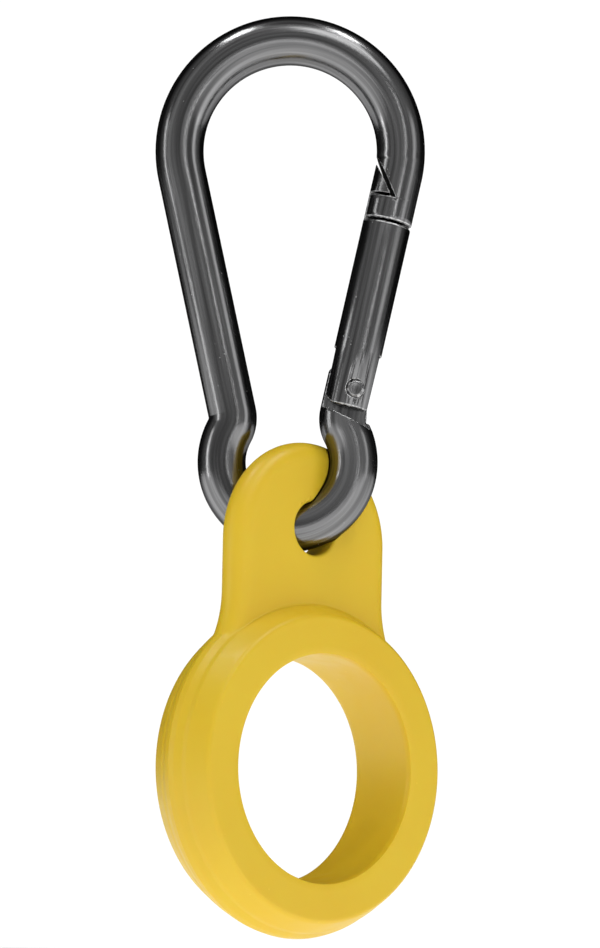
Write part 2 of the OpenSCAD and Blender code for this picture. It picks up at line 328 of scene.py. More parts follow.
def from_holder(points):
    """From the holder's frame, X across the tab and Y through it, to the row frame."""
    return RING_CENTRE + points @ np.array(HOLDER_TURN).T


# ---------------------------------------------------------------- the rod's path


class RodPath:
    """A path in the XZ plane of straight runs and arcs: each move is (length, turn in radians)."""

    def __init__(self, start, heading, moves):
        self.starts, self.headings, self.bends, self.lengths = [start], [heading], [], [0.0]
        for run, turn in moves:
            self.bends.append(turn / run)
            self.lengths.append(self.lengths[-1] + run)
            self.starts.append(self.step(self.starts[-1], self.headings[-1], self.bends[-1], run))
            self.headings.append(self.headings[-1] + turn)
        self.end = self.lengths[-1]

    @staticmethod
    def step(start, heading, bend, run):
        """Point reached after a run: straight, or round a circle of radius 1 / bend."""
        half = bend * run / 2
        chord = run * np.sinc(half / np.pi)
        if np.ndim(chord):
            return start + chord[..., None] * np.stack([np.cos(heading + half), np.sin(heading + half)], -1)
        return start + chord * np.array([math.cos(heading + half), math.sin(heading + half)])

    def at(self, along):
        """Centre points and headings at the lengths along, an array of any shape."""
        along = np.asarray(along, float)
        k = np.clip(np.searchsorted(self.lengths, along, side="right") - 1, 0, len(self.bends) - 1)
        run = along - np.array(self.lengths)[k]
        bend = np.array(self.bends)[k]
        heading = np.array(self.headings)[k]
        centre = self.step(np.array(self.starts)[k], heading, bend, run)
        return centre, heading + bend * run

    def surface(self, along, angle, radius):
        """Rod's surface: centre + radius (cos angle outward + sin angle along Y)."""
        centre, heading = self.at(along)
        out = radius * np.cos(angle)
        return np.stack(np.broadcast_arrays(
            centre[..., 0] + out * np.sin(heading),
            radius * np.sin(angle),
            centre[..., 1] - out * np.cos(heading)), -1)

    def unbend(self, points):
        """Each point as (outward, Y, length along the path), from its nearest path sample."""
        samples = np.linspace(0, self.end, 2400)
        centre, heading = self.at(samples)
        flat = points[:, [0, 2]]
        nearest = np.concatenate([
            np.argmin(((block[:, None] - centre[None]) ** 2).sum(-1), 1)
            for block in np.array_split(flat, 1 + len(flat) // 2000)])
        offset = flat - centre[nearest]
        heading = heading[nearest]
        out = offset[:, 0] * np.sin(heading) - offset[:, 1] * np.cos(heading)
        ahead = offset[:, 0] * np.cos(heading) + offset[:, 1] * np.sin(heading)
        return np.stack([out, points[:, 1], samples[nearest] + ahead], -1)


def hook_path(s):
    """The rod from the nose's end, over the bow, down the leg, round the eye and up to the tongue."""
    waist_r = WIRE_R + s.waist_inner
    high = BOW_Z - EYE_Z
    waist = math.acos((BOW_R - high * math.sin(LEAN) + waist_r) / (EYE_R + waist_r))
    leg = high * math.cos(LEAN) - (EYE_R + waist_r) * math.sin(waist)
    pivot_up = float((PIVOT - BOW_CENTRE) @ ROD_UP) + leg
    straight = leg - pivot_up - s.joint_up
    bow = math.pi + 2 * LEAN
    eye = math.pi + 2 * (waist - LEAN)
    start = (ROD_ORIGIN + s.joint_up * ROD_UP)[[0, 2]]
    return RodPath(start, math.pi / 2 - LEAN, [
        (straight, 0.0),
        (BOW_R * bow, bow),
        (leg, 0.0),
        (waist_r * waist, -waist),
        (EYE_R * eye, eye),
        (waist_r * waist, -waist),
        (pivot_up + s.tongue_up, 0.0)])


# ---------------------------------------------------------------- hook body


def nose_rows(path, s, columns):
    """Rows of the nose: a bevelled end, a slot in the claw, then the wedge notch above it.

    Three runs of columns go round: the arc, from -edge to edge; the prongs' arcs beyond it; and
    the slot's floor. In the wedge the arc's edge follows where its plane leaves the rod, and the
    other two runs lie on the chord.
    """
    slope = s.notch_high / (WIRE_R + s.notch_past)
    edge0 = math.acos(s.notch_past / WIRE_R)
    corner = math.pi - math.asin(s.slot_wide / 2 / WIRE_R)
    prong_count, floor_count = 10, 8
    arc_share = np.linspace(-1, 1, columns + 1)
    prong = np.linspace(edge0, corner, prong_count + 1)
    floor_y = np.linspace(1, -1, floor_count + 1) * s.slot_wide / 2

    def flat_points(centre, heading, depth, across):
        """Points on a flat that lies depth outward of the rod's centre."""
        return np.stack([
            centre[0] + depth * math.sin(heading), across, centre[1] - depth * math.cos(heading)], -1)

    def ring(along, radius):
        """Section of the claw: arc and prongs on the rod, and the slot's floor."""
        angle = np.concatenate([arc_share * edge0, prong[1:]])
        front = path.surface(along, angle, radius)
        back = path.surface(along, -prong[:0:-1], radius)
        depth = s.notch_past + 0 * floor_y
        centre, heading = path.at(along)
        return np.concatenate([front, flat_points(centre, heading, depth, floor_y), back])

    def wedge_ring(along):
        """Section through the wedge: the arc up to the plane, and the plane's chord."""
        centre, heading = path.at(along)
        local = np.array([centre[0], 0, centre[1]]) - ROD_ORIGIN
        out_way = np.array([math.sin(heading), 0, -math.cos(heading)])
        level = s.notch_past + (s.joint_up + s.claw_high) / slope
        slant = out_way @ ROD_OUT + out_way @ ROD_UP / slope
        cut = (level - local @ ROD_OUT - local @ ROD_UP / slope) / slant
        edge = math.acos(np.clip(cut / WIRE_R, -1, 1))
        front = path.surface(along, arc_share * edge, WIRE_R)
        chord = WIRE_R * math.sin(edge)
        share = np.concatenate([np.sin(prong[1:]), floor_y / WIRE_R, -np.sin(prong[:0:-1])])
        share = share / math.sin(edge0)
        depth = max(cut, -WIRE_R) + 0 * share
        return np.concatenate([front, flat_points(centre, heading, depth, share * chord)])

    claw = s.claw_high
    tip = claw + s.notch_high
    rows = [ring(0.0, WIRE_R - s.end_bevel), ring(s.end_bevel, WIRE_R)]
    rows += [ring(u, WIRE_R) for u in np.linspace(s.end_bevel, claw, 6)[1:]]
    rows += [wedge_ring(u) for u in claw + (tip - claw) * np.sin(np.linspace(0, math.pi / 2, 26))]
    return rows, tip + 0.02, columns + 1, prong_count, floor_count


def rod_rows(path, s, start, columns, extra):
    """Plain rings along the rod, whose columns crowd into the nose's arc and shift to meet the
    tongue's corners, up to where the shoulder's rows begin."""
    waist_start = path.lengths[-3]
    last = waist_start - 1.2
    stations = [start]
    for k, bend in enumerate(path.bends[:-2]):
        spacing = 1.0 if bend == 0 else min(0.9, math.radians(3.0) / abs(bend))
        low, high = path.lengths[k], min(path.lengths[k + 1], last)
        stations += list(np.linspace(low, high, max(2, int((high - low) / spacing) + 1))[1:])
    stations = np.array([u for u in stations if u > start + 0.2])
    angle = np.linspace(-math.pi, math.pi, columns + 1)
    corner = math.asin(s.tongue_thick / 2 / WIRE_R)
    crowd = 6 * 2 * math.pi / columns
    knots = np.array([0.0, crowd, math.pi - crowd, math.pi])
    target = np.sign(angle) * np.interp(np.abs(angle), knots, [0.0, corner, math.pi - corner, math.pi])
    change = 8.0
    run = np.clip((stations - (last - change)) / change, 0, 1)[:, None]
    turned = angle + (target - angle) * run * run * (3 - 2 * run)
    rings = path.surface(stations[:, None], turned, WIRE_R)
    seam = np.repeat(rings[:, -1:], extra, axis=1)
    return list(np.concatenate([rings, seam], 1)), last, target


def tongue_rows(path, s, start, angle, extra):
    """Rows that slant to the shoulder's plane, then the tongue, clipped to its thickness."""
    dense = np.linspace(start, path.end, 1600)
    swept = path.surface(dense[:, None], angle[None], WIRE_R)
    local = swept - ROD_ORIGIN
    outward = local @ ROD_OUT
    height = local @ ROD_UP
    above = height + s.shoulder_down + (outward - PIVOT_OFFSET) * math.tan(s.shoulder_slope)
    hit = np.argmax(above > 0, axis=0)
    column = np.arange(len(angle))
    low, high = above[hit - 1, column], above[hit, column]
    shoulder = dense[hit - 1] + (dense[1] - dense[0]) * low / (low - high)
    radius = s.tongue_round
    inward = np.clip(radius - WIRE_R - WIRE_R * np.cos(angle), 0, radius)
    top = path.end - radius + np.sqrt(radius ** 2 - inward ** 2)
    rows = []
    for share in np.linspace(0, 1, 15)[1:]:
        rows.append(path.surface(start + (shoulder - start) * share, angle, WIRE_R))
    half = s.tongue_thick / 2
    for share in np.linspace(0, 1, 7):
        row = path.surface(shoulder + (top - shoulder) * share, angle, WIRE_R)
        row[:, 1] = np.clip(row[:, 1], -half, half)
        rows.append(row)
    return [np.concatenate([row, np.repeat(row[-1:], extra, axis=0)]) for row in rows]


def build_hook_body(s):
    """One rod swept along its path, as a single grid closed at both ends."""
    path = hook_path(s)
    nose, start, arc_count, prongs, floor = nose_rows(path, s, s.columns)
    extra = nose[0].shape[0] - arc_count
    body, last, angle = rod_rows(path, s, start, s.columns, extra)
    rows = nose + body + tongue_rows(path, s, last, angle, extra)
    points = np.array(rows)
    count = points.shape[1]
    faces = grid_faces(len(rows), count).tolist()
    faces.append(list(range(count)))
    first = (len(rows) - 1) * count
    left = np.arange(s.columns // 2)
    right = s.columns - left
    faces += (first + np.stack([left, left + 1, right - 1, right], -1)).tolist()
    piece = make_object("hook_body_metal", points, faces)
    hole = along_y(revolve("rivet hole", [
        (0, -WIRE_D), (s.rivet_hole_d / 2, -WIRE_D), (s.rivet_hole_d / 2, WIRE_D), (0, WIRE_D)], 48))
    hole.data.transform(Matrix.Translation(Vector(PIVOT)))
    combine(piece, hole, "DIFFERENCE")
    inner, high = WIRE_R - s.relief, s.tongue_up + 1
    flat = prism("tongue flat", [
        (inner, high), (inner, -s.relief_end), (WIRE_R, -s.shoulder_down),
        (WIRE_D, -s.shoulder_down), (WIRE_D, high)], WIRE_D * 2)
    flat.data.vertices.foreach_set("co", from_rod(vertex_points(flat.data)).ravel())
    combine(piece, flat, "DIFFERENCE")
    round_edges(piece, s.edge_round)
    return finish_piece(piece, [hole, flat], same_place, path.unbend)


# ---------------------------------------------------------------- gate and what it holds


def build_gate(s, g):
    """A turned bar with a wedge head, its fork slotted and its bores drilled."""
    top = s.joint_up - g.joint_gap
    step = g.slot_top + s.end_bevel
    bar = revolve("gate_metal", [
        (0, -g.bottom), (g.fork_r - s.end_bevel, -g.bottom), (g.fork_r, s.end_bevel - g.bottom),
        (g.fork_r, step), (WIRE_R, step + WIRE_R - g.fork_r), (WIRE_R, top - s.end_bevel),
        (WIRE_R - s.end_bevel, top), (0, top)], s.columns)
    slope = s.notch_high / (WIRE_R + s.notch_past)
    base = s.joint_up + s.claw_high + g.head_lift
    drop = g.latch_gap * math.sqrt(1 + slope ** 2)
    back = s.notch_past - (g.head_lift + drop) / slope
    inner = -WIRE_R - 1
    peak = base + slope * (back - inner)
    wedge = prism("wedge", [(back, base), (inner, base), (inner, peak)], WIRE_D * 2)
    neck_x = s.notch_past - g.latch_gap
    neck = prism("neck", [
        (neck_x, top - 0.5), (neck_x, base + 0.4), (inner, base + 0.4), (inner, top - 0.5)],
        s.slot_wide - 2 * g.latch_gap)
    neck.data.transform(Matrix.Translation((back - neck_x, 0, 0)))
    shape = revolve("head outline", [
        (0, top - 1), (WIRE_R - 0.02, top - 1), (WIRE_R - 0.02, base + 6), (0, base + 6)], s.columns)
    combine(wedge, neck, "UNION")
    combine(wedge, shape, "INTERSECT")
    combine(bar, wedge, "UNION")
    slot = prism("fork slot", [
        (-WIRE_D, -WIRE_D), (WIRE_D, -WIRE_D), (WIRE_D, g.slot_top), (-WIRE_D, g.slot_top)], g.fork_slot)
    bore = revolve("bore", [
        (0, g.slot_top - 1), (g.bore_r, g.slot_top - 1), (g.bore_r, g.bore_top), (0, g.bore_top + 0.5)], 40)
    pin = along_y(revolve("pin hole", [
        (0, -WIRE_D), (g.rivet_r, -WIRE_D), (g.rivet_r, WIRE_D), (0, WIRE_D)], 48), x=PIVOT_OFFSET)
    turn = g.corner_round
    middle = (turn - g.fork_r, turn - g.bottom)
    corner = prism("corner", arc(middle, turn, 180, 270, 14) + [
        (middle[0], middle[1] - turn - 1), (middle[0] - turn - 1, middle[1] - turn - 1),
        (middle[0] - turn - 1, middle[1])], WIRE_D * 2)
    helpers = [wedge, neck, shape]
    helpers += [combine(bar, cutter, "DIFFERENCE") for cutter in (slot, bore, pin, corner)]
    round_edges(bar, s.edge_round)
    return finish_piece(bar, helpers, from_rod, same_place)


def build_rivet(s, g):
    """A pin whose ends are pressed: a dished disc inside a rolled ring, a little uneven."""
    half, r = g.rivet_half, g.rivet_r
    end = [
        (0, half - 0.07), (0.38 * r, half - 0.06), (0.56 * r, half - 0.015), (0.64 * r, half),
        (0.72 * r, half - 0.03), (0.80 * r, half - 0.12), (0.88 * r, half - 0.20),
        (0.95 * r, half - 0.24), (r - 0.01, half - 0.32), (r - 0.01, half - 0.6)]
    profile = end + [(x, -y) for x, y in reversed(end)]
    lobes = 7
    turned = revolve("pivot_rivet_metal", profile, 64, lambda a: 1 + 0.012 * np.cos(lobes * a))
    piece = along_y(turned, x=PIVOT_OFFSET)
    # Painted glints: faces of the rolled ring at each lobe take the edge mask, which paints bright spots on
    # the rivet's ends.
    middles = np.array([list(side.center) for side in piece.data.polygons])
    across, up = middles[:, 0] - PIVOT_OFFSET, middles[:, 2]
    far = np.hypot(across, up) / r
    painted_glints = (far > 0.70) & (far < 0.98) & (np.cos(lobes * np.arctan2(up, across)) > 0.1)
    finish_piece(piece, [], from_rod, same_place)
    piece.data.attributes["edge"].data.foreach_set("value", painted_glints.astype(np.float32))
    return piece


def build_plunger(g):
    """A turned pin with a rounded tip, and a stem that the spring slides over."""
    r, tip = g.plunger_r, g.plunger_tip
    stem = r - g.spring_wire - 0.1
    top = tip + g.plunger_long
    nose = [(r - 0.45 + x, z) for x, z in arc((0, tip + 0.45), 0.45, -90, 0, 7)]
    profile = [(0, tip)] + nose + [
        (r, top - 0.1), (r - 0.1, top), (stem, top), (stem, top + g.stem_long - 0.15),
        (stem - 0.15, top + g.stem_long), (0, top + g.stem_long)]
    piece = revolve("spring_plunger_metal", profile, 48)
    return finish_piece(piece, [], from_rod, same_place)


def build_spring(g):
    """A wire on a helix whose end turns close up: z = low + wire/2 + rise(t), with rise eased so
    that the first and last turns lie one wire apart."""
    wire = g.spring_wire
    low = g.plunger_tip + g.plunger_long + 0.02
    high = g.bore_top - 0.02
    turns = g.spring_turns
    t = np.linspace(0, turns, turns * 36 + 1)
    open_turns = turns - 2
    pitch = (high - low - wire - 2 * wire) / open_turns
    rises = [0, wire, wire + pitch * open_turns, high - low - wire]
    level = low + wire / 2 + np.interp(t, [0, 1, turns - 1, turns], rises)
    radius = g.plunger_r - wire / 2
    a = 2 * np.pi * t[:, None]
    b = np.linspace(0, 2 * np.pi, 12, endpoint=False)[None, :]
    r = radius + wire / 2 * np.cos(b)
    points = np.stack([r * np.cos(a), r * np.sin(a), level[:, None] + wire / 2 * np.sin(b)], -1)
    faces = grid_faces(len(t), 12).tolist()
    faces += [list(range(12)), list(range((len(t) - 1) * 12, len(t) * 12))]
    piece = make_object("gate_spring_wire", points, faces)
    return finish_piece(piece, [], from_rod, same_place)


# ---------------------------------------------------------------- bottle holder


def softened(points, radius):
    """A polyline's points, evenly spaced and smoothed over radius, with its ends kept."""
    points = np.array(points, float)
    run = np.concatenate([[0], np.cumsum(np.hypot(*np.diff(points, axis=0).T))])
    spacing = 0.02
    even = np.linspace(0, run[-1], int(run[-1] / spacing) + 1)
    line = np.stack([np.interp(even, run, points[:, k]) for k in (0, 1)], -1)
    reach = max(1, int(3 * radius / spacing))
    weight = np.exp(-0.5 * (np.arange(-reach, reach + 1) / (reach / 3)) ** 2)
    weight /= weight.sum()
    padded = np.concatenate([
        2 * line[0] - line[reach:0:-1], line, 2 * line[-1] - line[-2:-reach - 2:-1]])
    return np.stack([np.convolve(padded[:, k], weight, "valid") for k in (0, 1)], -1)


def holder_outline(h, lean, ring_r):
    """Distance from the ring's centre to the outline, at angles lean from the vertical: the
    half-disc, the straight side, the fillet, and else the ring. The fillet meets a circle that
    lies sink mm inside the ring's outline."""
    half = h.tab_wide / 2
    round_z = TAB_TOP - half
    sink = 0.7
    meet = ring_r - sink
    out = half + h.fillet
    up = math.sqrt((meet + h.fillet) ** 2 - out ** 2)
    sine, cosine = np.abs(np.sin(lean)), np.cos(lean)
    disc = round_z * cosine + np.sqrt(np.maximum(half ** 2 - (round_z * sine) ** 2, 0))
    side = half / np.maximum(sine, 1e-6)
    reach = out * sine + up * cosine
    fillet = reach - np.sqrt(np.maximum(reach ** 2 - out ** 2 - up ** 2 + h.fillet ** 2, 0))
    tab = np.where(disc * cosine >= round_z, disc, np.where(side * cosine >= up, side, fillet))
    beside = np.abs(lean) < math.atan2(out, up)
    return np.where(beside, np.maximum(tab, ring_r), ring_r), (half, round_z, out, up, beside)


def holder_surface(h):
    """Rows of the holder's front, back and bore, over angles about the ring's centre.

    Half the thickness is the larger of the ring's profile and the tab's, softened where they
    meet; the tab's is flat, and falls off as a quarter circle within its thickness of its edge.
    """
    face_r = NECK_R + h.face_wide
    shoulder = (RING_R - 0.72, 2.15)
    profile = softened([
        (NECK_R, 0), (NECK_R, RING_HALF - 0.2), (NECK_R + 0.2, RING_HALF), (face_r, RING_HALF),
        (face_r + 0.3, RING_HALF - 0.27), shoulder, (RING_R - 0.6, 1.62), (RING_R - 0.15, 0.73),
        (RING_R, 0)], h.crease_round)
    inner = profile[profile[:, 0] < shoulder[0]]
    rising = inner[:, 0] + 1e-6 * np.arange(len(inner))
    pick = np.unique(np.concatenate([
        np.linspace(0, len(inner) - 1, 26), np.linspace(len(inner) - 70, len(inner) - 1, 12),
        np.searchsorted(rising, face_r + np.linspace(-0.3, 0.5, 9))]).astype(int))
    inner = inner[np.clip(pick, 0, len(inner) - 1)]
    lean = np.concatenate([
        np.radians(np.arange(-60, 60, 0.6)), np.radians(np.linspace(60, 300, 140, endpoint=False))])
    lean = np.where(lean > math.pi, lean - 2 * math.pi, lean)
    outline, (half, round_z, out, up, beside) = holder_outline(h, lean, RING_R)
    share = 0.5 - 0.5 * np.cos(np.linspace(0, math.pi, 50))[1:, None]
    radius = inner[-1, 0] + (outline - inner[-1, 0]) * share
    x, z = radius * np.sin(lean), radius * np.cos(lean)
    depth = np.where(
        z >= round_z, half - np.hypot(x, z - round_z),
        np.where(z >= up, half - np.abs(x), np.hypot(np.abs(x) - out, z - up) - h.fillet))
    edge = h.tab_thick / 2
    tab = np.sqrt(np.maximum(edge ** 2 - np.maximum(edge - depth, 0) ** 2, 0)) * (depth > 0) * beside
    falling = profile[len(profile) // 2:]
    ring = np.interp(radius, falling[:, 0], falling[:, 1])
    soft = h.step_fillet * np.clip(np.minimum(ring, tab), 0, 1) + 1e-9
    thick = np.maximum(ring, tab) + np.maximum(soft - np.abs(ring - tab), 0) ** 2 / (4 * soft)
    thick[-1] = 0
    radius = np.concatenate([inner[:, :1] + 0 * lean, radius])
    thick = np.concatenate([inner[:, 1:] + 0 * lean, thick])
    front = np.stack([radius * np.sin(lean), -thick, radius * np.cos(lean)], -1)
    back = front[-2:0:-1] * np.array([1, -1, 1])
    return np.concatenate([front, back])


def build_holder(h):
    """Neck ring and tab in one moulding, with the tab's hole and the passage for the eye's rod."""
    points = holder_surface(h)
    rows, columns = points.shape[:2]
    faces = grid_faces(rows, columns).tolist()
    closing = grid_faces(2, columns)
    closing = np.where(closing < columns, closing + (rows - 1) * columns, closing - columns)
    piece = make_object("bottle_holder_silicone", points, faces + closing.tolist())
    lip, edge = h.hole_lip, h.tab_thick / 2
    flare = [(h.hole_r + lip - x, edge - lip + z) for x, z in arc((0, 0), lip, 0, 90, 7)]
    flare += [(h.hole_r + lip + 0.02, edge + 2), (0, edge + 2)]
    profile = [(x, -z) for x, z in reversed(flare)] + flare
    eye_up = float(np.array(HOLDER_TURN)[:, 2] @ (np.array([0, 0, EYE_Z]) - RING_CENTRE))
    hole_z = eye_up - EYE_R + WIRE_R - h.hole_r + 0.2
    hole = along_y(revolve("hole", profile, 72), z=hole_z)
    radius = WIRE_R + h.passage_gap
    a = np.linspace(0, 2 * np.pi, 160, endpoint=False)[:, None]
    b = np.linspace(0, 2 * np.pi, 64, endpoint=False)[None, :]
    reach = EYE_R + radius * np.cos(b)
    torus = np.stack([reach * np.cos(a), radius * np.sin(b) + 0 * a, reach * np.sin(a)], -1)
    wrapped = np.concatenate([torus, torus[:1]])
    eye = make_object("passage", wrapped, grid_faces(161, 64))
    shift = Vector(np.array([0, 0, EYE_Z]) - RING_CENTRE)
    eye.data.transform(HOLDER_TURN.transposed().to_4x4() @ Matrix.Translation(shift))
    helpers = [combine(piece, cutter, "DIFFERENCE") for cutter in (hole, eye)]
    return finish_piece(piece, helpers, from_holder, same_place, 40.0)


# ---------------------------------------------------------------- materials


def new_group(name, inputs, outputs):
    """An empty node group with float, vector or colour sockets, and its two end nodes."""
    group = bpy.data.node_groups.new(name, "ShaderNodeTree")
    for label, kind, value in inputs:
        socket = group.interface.new_socket(label, in_out="INPUT", socket_type=kind)
        if value is not None:
            socket.default_value = value
    for label, kind in outputs:
        group.interface.new_socket(label, in_out="OUTPUT", socket_type=kind)
    return group, group.nodes.new("NodeGroupInput"), group.nodes.new("NodeGroupOutput")


def node(tree, kind, inputs=(), **settings):
    """A node with its settings, and its inputs linked or set: pairs of (socket, value)."""
    made = tree.nodes.new(kind)
    for name, value in settings.items():
        setattr(made, name, value)
    for socket, value in inputs:
        if isinstance(value, bpy.types.NodeSocket):
            tree.links.new(value, made.inputs[socket])
        else:
            made.inputs[socket].default_value = value
    return made


def math_node(tree, operation, first, second=0.0):
    """Output of a Math node."""
    return node(tree, "ShaderNodeMath", [(0, first), (1, second)], operation=operation).outputs[0]


def span(tree, value, low, high, to_low=0.0, to_high=1.0):
    """Output of a clamped Map Range node."""
    return node(tree, "ShaderNodeMapRange", [
        ("Value", value), ("From Min", low), ("From Max", high), ("To Min", to_low), ("To Max", to_high),
    ]).outputs["Result"]


def draw_lines_group():
    """Fine lines left by drawing the rod: noise that is stretched a hundredfold along the bar."""
    group, start, end = new_group(
        "Draw lines",
        [("Place", "NodeSocketVector", None), ("Fineness", "NodeSocketFloat", 3.0),
         ("Stretch", "NodeSocketFloat", 0.02)],
        [("Lines", "NodeSocketFloat"), ("Bands", "NodeSocketFloat")])
    scale = node(group, "ShaderNodeCombineXYZ", [("X", 1.0), ("Y", 1.0), ("Z", start.outputs["Stretch"])])
    place = node(group, "ShaderNodeVectorMath", [(0, start.outputs["Place"]), (1, scale.outputs[0])],
                 operation="MULTIPLY").outputs[0]
    fine = node(group, "ShaderNodeTexNoise", [
        ("Vector", place), ("Scale", start.outputs["Fineness"]), ("Detail", 4.0), ("Roughness", 0.75)])
    broad = node(group, "ShaderNodeTexNoise", [("Vector", place), ("Scale", 1.6), ("Detail", 3.0)])
    group.links.new(span(group, fine.outputs[0], 0.3, 0.7), end.inputs["Lines"])
    group.links.new(span(group, broad.outputs[0], 0.35, 0.65), end.inputs["Bands"])
    return group


def wear_and_highlight_group():
    """Worn edges and painted edge highlights: the edge mask broken up by noise, and small nicks scattered
    over the faces.
    """
    group, start, end = new_group(
        "Worn and highlit edges",
        [("Place", "NodeSocketVector", None), ("Edge", "NodeSocketFloat", 0.0),
         ("Amount", "NodeSocketFloat", 0.7)],
        [("Worn and highlit", "NodeSocketFloat"), ("Nicks", "NodeSocketFloat")])
    patchy = node(group, "ShaderNodeTexNoise", [
        ("Vector", start.outputs["Place"]), ("Scale", 2.6), ("Detail", 5.0), ("Roughness", 0.7)])
    # The bevels' edge mask, broken by noise, is partly real rubbing and partly painted highlight lines.
    broken = span(group, patchy.outputs[0], 0.40, 0.62)
    edge = math_node(group, "MULTIPLY", start.outputs["Edge"], broken)
    cells = node(group, "ShaderNodeTexVoronoi", [("Vector", start.outputs["Place"]), ("Scale", 0.85)])
    specks = span(group, cells.outputs["Distance"], 0.045, 0.015)
    group.links.new(math_node(group, "MULTIPLY", edge, start.outputs["Amount"]), end.inputs["Worn and highlit"])
    group.links.new(specks, end.inputs["Nicks"])
    return group


def mix_colour(tree, factor, first, second):
    """Output of a colour Mix node."""
    mixed = node(tree, "ShaderNodeMix", data_type="RGBA")
    for socket, value in ((0, factor), (6, first), (7, second)):
        if isinstance(value, bpy.types.NodeSocket):
            tree.links.new(value, mixed.inputs[socket])
        elif socket == 0:
            mixed.inputs[socket].default_value = value
        else:
            mixed.inputs[socket].default_value = (*value, 1.0)
    return mixed.outputs[2]


def new_material(name):
    """A node material, its tree and its Principled shader."""
    material = bpy.data.materials.new(name)
    material.use_nodes = True
    tree = material.node_tree
    return material, tree, tree.nodes["Principled BSDF"]


def metal_material(name, colour, wear_and_highlight_colour, groups, roughness=(0.11, 0.25), wear_and_highlight=0.9, fineness=3.0, relief=0.5):
    """Plated steel: draw lines and broad bands along the bar, rubbed edges with painted edge highlights,
    and small nicks.
    """
    material, tree, shader = new_material(name)
    place = node(tree, "ShaderNodeAttribute", attribute_name="bar_place").outputs["Vector"]
    edge = node(tree, "ShaderNodeAttribute", attribute_name="edge").outputs["Fac"]
    lines = node(tree, "ShaderNodeGroup", node_tree=groups["lines"])
    tree.links.new(place, lines.inputs["Place"])
    lines.inputs["Fineness"].default_value = fineness
    rubbed_and_highlight = node(tree, "ShaderNodeGroup", node_tree=groups["wear_and_highlight"])
    tree.links.new(place, rubbed_and_highlight.inputs["Place"])
    tree.links.new(edge, rubbed_and_highlight.inputs["Edge"])
    rubbed_and_highlight.inputs["Amount"].default_value = wear_and_highlight
    darker = tuple(0.50 * c for c in colour)
    lighter = tuple(1.40 * c for c in colour)
    toned = mix_colour(tree, lines.outputs["Bands"], darker, lighter)
    # Painted highlight: the edge mask turns the bevels pale and rough, as bright edge lines, mixed with
    # real rubbing and nicks.
    bright = math_node(tree, "MAXIMUM", rubbed_and_highlight.outputs["Worn and highlit"], rubbed_and_highlight.outputs["Nicks"])
    tree.links.new(mix_colour(tree, bright, toned, wear_and_highlight_colour), shader.inputs["Base Color"])
    smooth = span(tree, lines.outputs["Lines"], 0, 1, *roughness)
    rough = math_node(tree, "ADD", smooth, math_node(tree, "MULTIPLY", bright, 0.4))
    tree.links.new(rough, shader.inputs["Roughness"])
    shader.inputs["Metallic"].default_value = 1.0
    shader.inputs["Specular Tint"].default_value = (0.35, 0.35, 0.35, 1)
    height = math_node(tree, "SUBTRACT", lines.outputs["Lines"], rubbed_and_highlight.outputs["Nicks"])
    bump = node(tree, "ShaderNodeBump", [("Height", height), ("Distance", 0.000012), ("Strength", relief)])
    tree.links.new(bump.outputs[0], shader.inputs["Normal"])
    return material


def silicone_material(looks):
    """Satin moulded silicone: slow tone changes, a fine matt grain and a few dust specks."""
    material, tree, shader = new_material("silicone")
    place = node(tree, "ShaderNodeTexCoord").outputs["Object"]
    slow = node(tree, "ShaderNodeTexNoise", [("Vector", place), ("Scale", 70.0), ("Detail", 3.0)])
    grain = node(tree, "ShaderNodeTexNoise", [("Vector", place), ("Scale", 5200.0), ("Detail", 3.0)])
    swirl = node(tree, "ShaderNodeTexNoise", [
        ("Vector", place), ("Scale", 260.0), ("Detail", 4.0), ("Distortion", 1.2)])
    dust = node(tree, "ShaderNodeTexVoronoi", [("Vector", place), ("Scale", 420.0)])
    specks = span(tree, dust.outputs["Distance"], 0.06, 0.02)
    deep = span(tree, slow.outputs[0], 0.35, 0.7, 0.0, 0.35)
    toned = mix_colour(tree, deep, looks.silicone, looks.silicone_deep)
    pale = tuple(min(1.0, 1.12 * c + 0.04) for c in looks.silicone)
    dusted = mix_colour(tree, math_node(tree, "MULTIPLY", specks, 0.5), toned, pale)
    tree.links.new(dusted, shader.inputs["Base Color"])
    satin = span(tree, swirl.outputs[0], 0.3, 0.7, 0.36, 0.50)
    rough = math_node(tree, "ADD", satin, math_node(tree, "MULTIPLY", specks, 0.1))
    tree.links.new(rough, shader.inputs["Roughness"])
    bump = node(tree, "ShaderNodeBump", [
        ("Height", grain.outputs[0]), ("Distance", 0.00001), ("Strength", 0.35)])
    tree.links.new(bump.outputs[0], shader.inputs["Normal"])
    shader.inputs["Subsurface Weight"].default_value = 0.25
    shader.inputs["Subsurface Radius"].default_value = (1.0, 0.55, 0.12)
    shader.inputs["Subsurface Scale"].default_value = 0.0012
    shader.inputs["Specular IOR Level"].default_value = 0.45
    return material


def shared_groups():
    """The node groups, made once."""
    return {
        "lines": bpy.data.node_groups.get("Draw lines") or draw_lines_group(),
        "wear_and_highlight": bpy.data.node_groups.get("Worn and highlit edges") or wear_and_highlight_group(),
    }


def dress(piece, material, body, cad_node):
    """Gives a piece its material, in its one slot, and its body, and hides the CAD node that it replaces.
    """
    piece.data.materials.clear()
    piece.data.materials.append(material)
    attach(piece, body)
    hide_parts(cad_node)
    return piece


# ---------------------------------------------------------------- operators


class CARRIER_OT_hook_body(bpy.types.Operator):
    """Make the bent rod with its nose, tongue and eye"""

    bl_idname = PREFIX + ".hook_body"
    bl_label = "Hook body"

    def execute(self, context):
        looks = context.scene.carrier_looks
        piece = build_hook_body(context.scene.carrier_hook)
        steel = metal_material("plated steel", looks.plating, looks.bright, shared_groups())
        dress(piece, steel, "hook", "hook_body")
        return {"FINISHED"}


